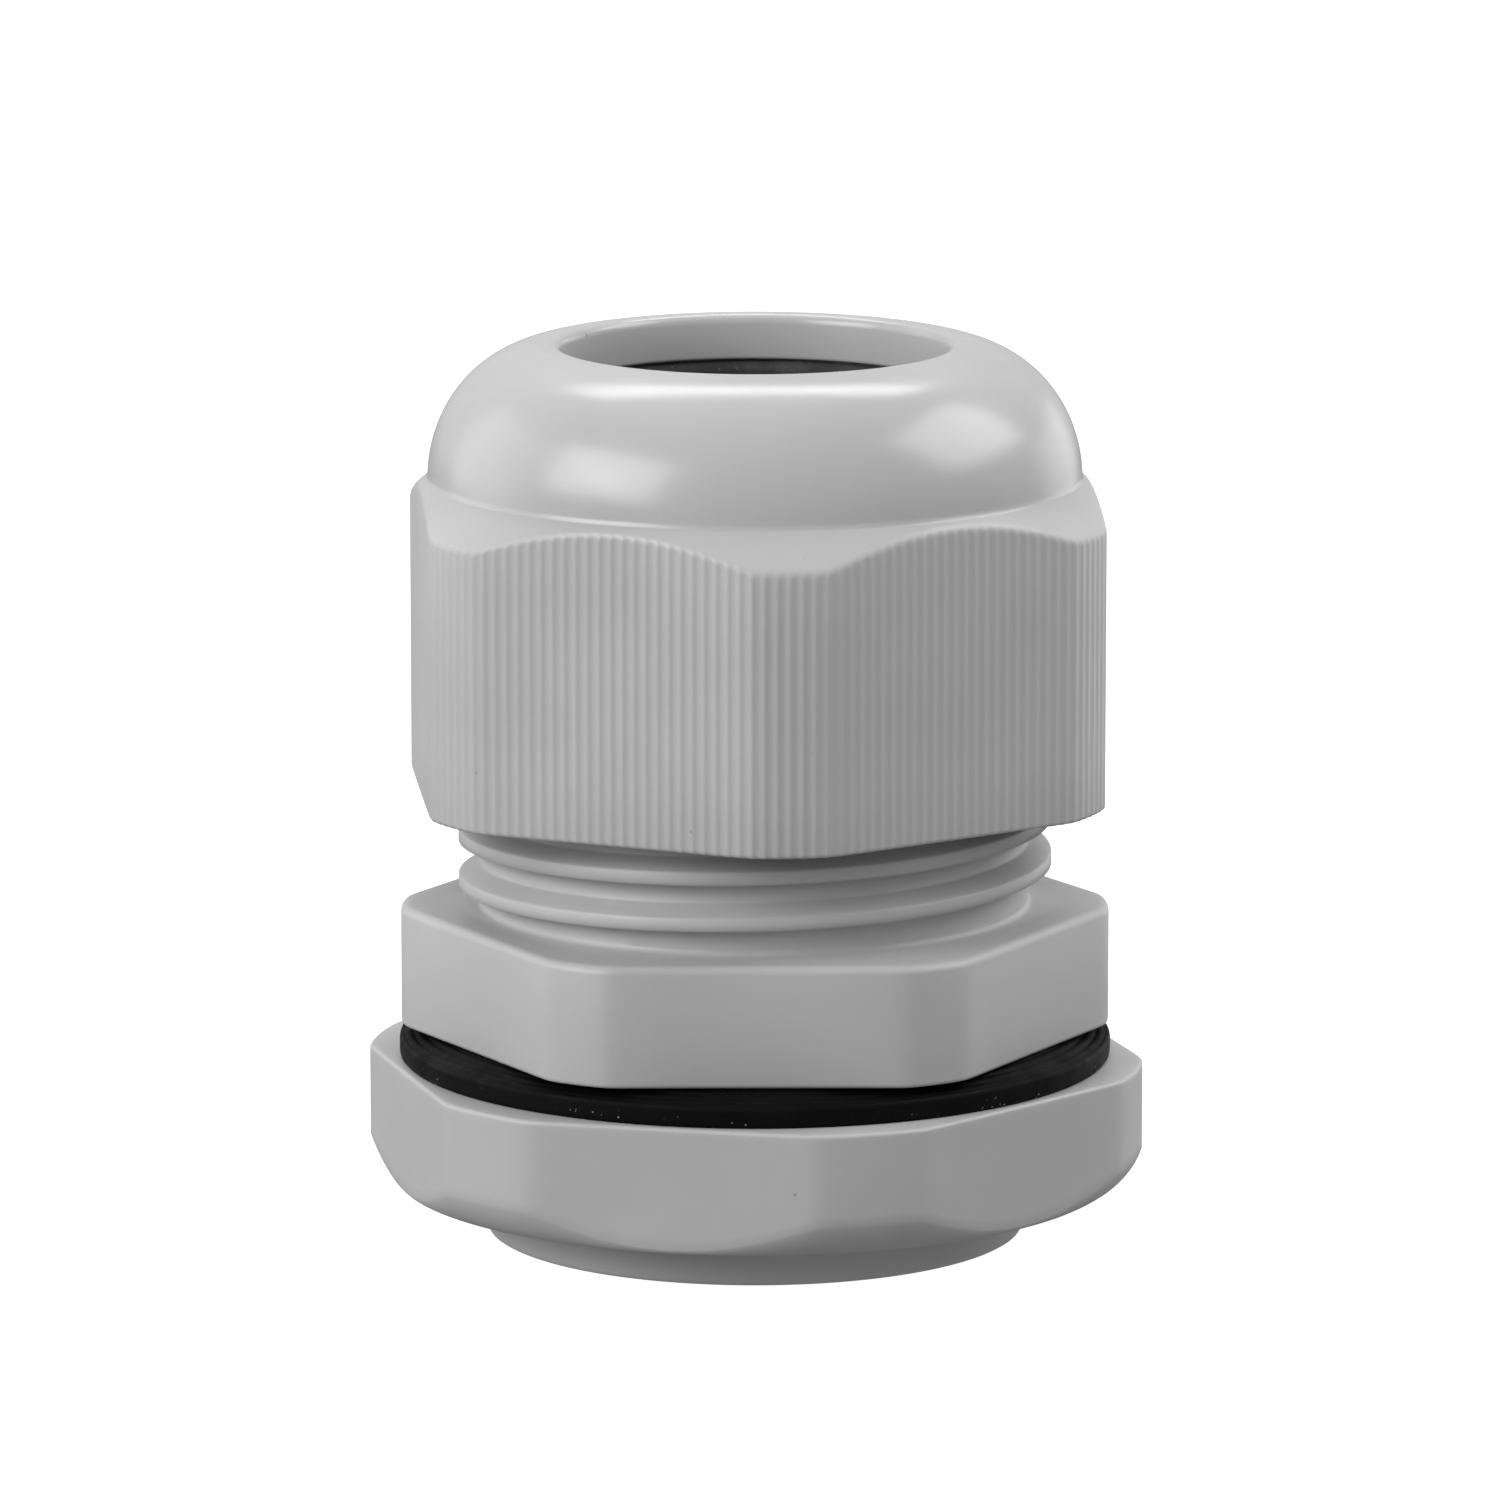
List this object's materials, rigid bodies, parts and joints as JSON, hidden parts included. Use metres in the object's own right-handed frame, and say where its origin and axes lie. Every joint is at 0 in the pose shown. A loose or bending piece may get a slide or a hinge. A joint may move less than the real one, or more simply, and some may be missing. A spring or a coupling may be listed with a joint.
{
  "type": "cable gland",
  "caption": "Domed cable gland: ribbed sealing nut, rubber seal and bending claw on a hexagonal threaded body, with flat washer and locknut.",
  "frame": {"origin": "centre of the bottom end of the entry thread", "axes": "+Z along the cable axis, from the entry thread to the dome nut; +Y away from the front"},
  "size_m": [0.0506, 0.0502, 0.0584],
  "materials": {
    "body_nylon": "moulded light grey nylon, satin",
    "dome_nylon": "moulded light grey nylon, soft gloss on the dome",
    "locknut_nylon": "moulded light grey nylon, satin",
    "claw_nylon": "moulded light grey nylon, satin",
    "seal_rubber": "matt black rubber",
    "washer_rubber": "matt black rubber with dusty specks"
  },
  "bodies": {
    "gland_body": {"gland_body": "body_nylon"},
    "seal_insert": {"seal_insert": "seal_rubber"},
    "dome_nut": {"dome_nut": "dome_nylon"},
    "sealing_washer": {"sealing_washer": "washer_rubber"},
    "locknut": {"locknut": "locknut_nylon"},
    "claw_finger_01": {"claw_finger_01": "claw_nylon"},
    "claw_finger_02": {"claw_finger_02": "claw_nylon"},
    "claw_finger_03": {"claw_finger_03": "claw_nylon"},
    "claw_finger_04": {"claw_finger_04": "claw_nylon"},
    "claw_finger_05": {"claw_finger_05": "claw_nylon"},
    "claw_finger_06": {"claw_finger_06": "claw_nylon"},
    "claw_finger_07": {"claw_finger_07": "claw_nylon"},
    "claw_finger_08": {"claw_finger_08": "claw_nylon"},
    "claw_finger_09": {"claw_finger_09": "claw_nylon"},
    "claw_finger_10": {"claw_finger_10": "claw_nylon"},
    "claw_finger_11": {"claw_finger_11": "claw_nylon"},
    "claw_finger_12": {"claw_finger_12": "claw_nylon"},
    "claw_finger_13": {"claw_finger_13": "claw_nylon"},
    "claw_finger_14": {"claw_finger_14": "claw_nylon"},
    "claw_finger_15": {"claw_finger_15": "claw_nylon"},
    "claw_finger_16": {"claw_finger_16": "claw_nylon"}
  },
  "joints": [
    {"name": "dome_nut_travel", "type": "slide", "parent": "gland_body", "child": "seal_insert", "axis": [0, 0, 1], "range_m": [-0.0072, 0.003], "deforming": ["seal_insert"]},
    {"name": "dome_nut_turn", "type": "hinge", "parent": "seal_insert", "child": "dome_nut", "pos_m": [0, 0, 0.04], "axis": [0, 0, 1], "range_deg": [-870, 365]},
    {"name": "locknut_travel", "type": "slide", "parent": "gland_body", "child": "sealing_washer", "axis": [0, 0, 1], "range_m": [-0.0095, 0]},
    {"name": "locknut_turn", "type": "hinge", "parent": "sealing_washer", "child": "locknut", "pos_m": [0, 0, 0.0075], "axis": [0, 0, 1], "range_deg": [-2160, 5]},
    {"name": "finger_bend_01", "type": "hinge", "parent": "gland_body", "child": "claw_finger_01", "pos_m": [0.01615, 0, 0.0352], "axis": [0, -1, 0], "range_deg": [-7, 16]},
    {"name": "finger_bend_02", "type": "hinge", "parent": "gland_body", "child": "claw_finger_02", "pos_m": [0.01492, 0.00618, 0.0352], "axis": [0.3827, -0.9239, 0], "range_deg": [-7, 16]},
    {"name": "finger_bend_03", "type": "hinge", "parent": "gland_body", "child": "claw_finger_03", "pos_m": [0.01142, 0.01142, 0.0352], "axis": [0.7071, -0.7071, 0], "range_deg": [-7, 16]},
    {"name": "finger_bend_04", "type": "hinge", "parent": "gland_body", "child": "claw_finger_04", "pos_m": [0.00618, 0.01492, 0.0352], "axis": [0.9239, -0.3827, 0], "range_deg": [-7, 16]},
    {"name": "finger_bend_05", "type": "hinge", "parent": "gland_body", "child": "claw_finger_05", "pos_m": [0, 0.01615, 0.0352], "axis": [1, 0, 0], "range_deg": [-7, 16]},
    {"name": "finger_bend_06", "type": "hinge", "parent": "gland_body", "child": "claw_finger_06", "pos_m": [-0.00618, 0.01492, 0.0352], "axis": [0.9239, 0.3827, 0], "range_deg": [-7, 16]},
    {"name": "finger_bend_07", "type": "hinge", "parent": "gland_body", "child": "claw_finger_07", "pos_m": [-0.01142, 0.01142, 0.0352], "axis": [0.7071, 0.7071, 0], "range_deg": [-7, 16]},
    {"name": "finger_bend_08", "type": "hinge", "parent": "gland_body", "child": "claw_finger_08", "pos_m": [-0.01492, 0.00618, 0.0352], "axis": [0.3827, 0.9239, 0], "range_deg": [-7, 16]},
    {"name": "finger_bend_09", "type": "hinge", "parent": "gland_body", "child": "claw_finger_09", "pos_m": [-0.01615, 0, 0.0352], "axis": [0, 1, 0], "range_deg": [-7, 16]},
    {"name": "finger_bend_10", "type": "hinge", "parent": "gland_body", "child": "claw_finger_10", "pos_m": [-0.01492, -0.00618, 0.0352], "axis": [-0.3827, 0.9239, 0], "range_deg": [-7, 16]},
    {"name": "finger_bend_11", "type": "hinge", "parent": "gland_body", "child": "claw_finger_11", "pos_m": [-0.01142, -0.01142, 0.0352], "axis": [-0.7071, 0.7071, 0], "range_deg": [-7, 16]},
    {"name": "finger_bend_12", "type": "hinge", "parent": "gland_body", "child": "claw_finger_12", "pos_m": [-0.00618, -0.01492, 0.0352], "axis": [-0.9239, 0.3827, 0], "range_deg": [-7, 16]},
    {"name": "finger_bend_13", "type": "hinge", "parent": "gland_body", "child": "claw_finger_13", "pos_m": [0, -0.01615, 0.0352], "axis": [-1, 0, 0], "range_deg": [-7, 16]},
    {"name": "finger_bend_14", "type": "hinge", "parent": "gland_body", "child": "claw_finger_14", "pos_m": [0.00618, -0.01492, 0.0352], "axis": [-0.9239, -0.3827, 0], "range_deg": [-7, 16]},
    {"name": "finger_bend_15", "type": "hinge", "parent": "gland_body", "child": "claw_finger_15", "pos_m": [0.01142, -0.01142, 0.0352], "axis": [-0.7071, -0.7071, 0], "range_deg": [-7, 16]},
    {"name": "finger_bend_16", "type": "hinge", "parent": "gland_body", "child": "claw_finger_16", "pos_m": [0.01492, -0.00618, 0.0352], "axis": [-0.3827, -0.9239, 0], "range_deg": [-7, 16]}
  ],
  "couplings": [
    {"joint": "dome_nut_turn", "follows": "dome_nut_travel", "rad_per_m": 2094.4},
    {"joint": "locknut_turn", "follows": "locknut_travel", "rad_per_m": 3957.9},
    {"joint": "finger_bend_01", "follows": "dome_nut_travel", "rad_per_m": -37.525},
    {"joint": "finger_bend_02", "follows": "dome_nut_travel", "rad_per_m": -37.525},
    {"joint": "finger_bend_03", "follows": "dome_nut_travel", "rad_per_m": -37.525},
    {"joint": "finger_bend_04", "follows": "dome_nut_travel", "rad_per_m": -37.525},
    {"joint": "finger_bend_05", "follows": "dome_nut_travel", "rad_per_m": -37.525},
    {"joint": "finger_bend_06", "follows": "dome_nut_travel", "rad_per_m": -37.525},
    {"joint": "finger_bend_07", "follows": "dome_nut_travel", "rad_per_m": -37.525},
    {"joint": "finger_bend_08", "follows": "dome_nut_travel", "rad_per_m": -37.525},
    {"joint": "finger_bend_09", "follows": "dome_nut_travel", "rad_per_m": -37.525},
    {"joint": "finger_bend_10", "follows": "dome_nut_travel", "rad_per_m": -37.525},
    {"joint": "finger_bend_11", "follows": "dome_nut_travel", "rad_per_m": -37.525},
    {"joint": "finger_bend_12", "follows": "dome_nut_travel", "rad_per_m": -37.525},
    {"joint": "finger_bend_13", "follows": "dome_nut_travel", "rad_per_m": -37.525},
    {"joint": "finger_bend_14", "follows": "dome_nut_travel", "rad_per_m": -37.525},
    {"joint": "finger_bend_15", "follows": "dome_nut_travel", "rad_per_m": -37.525},
    {"joint": "finger_bend_16", "follows": "dome_nut_travel", "rad_per_m": -37.525}
  ]
}
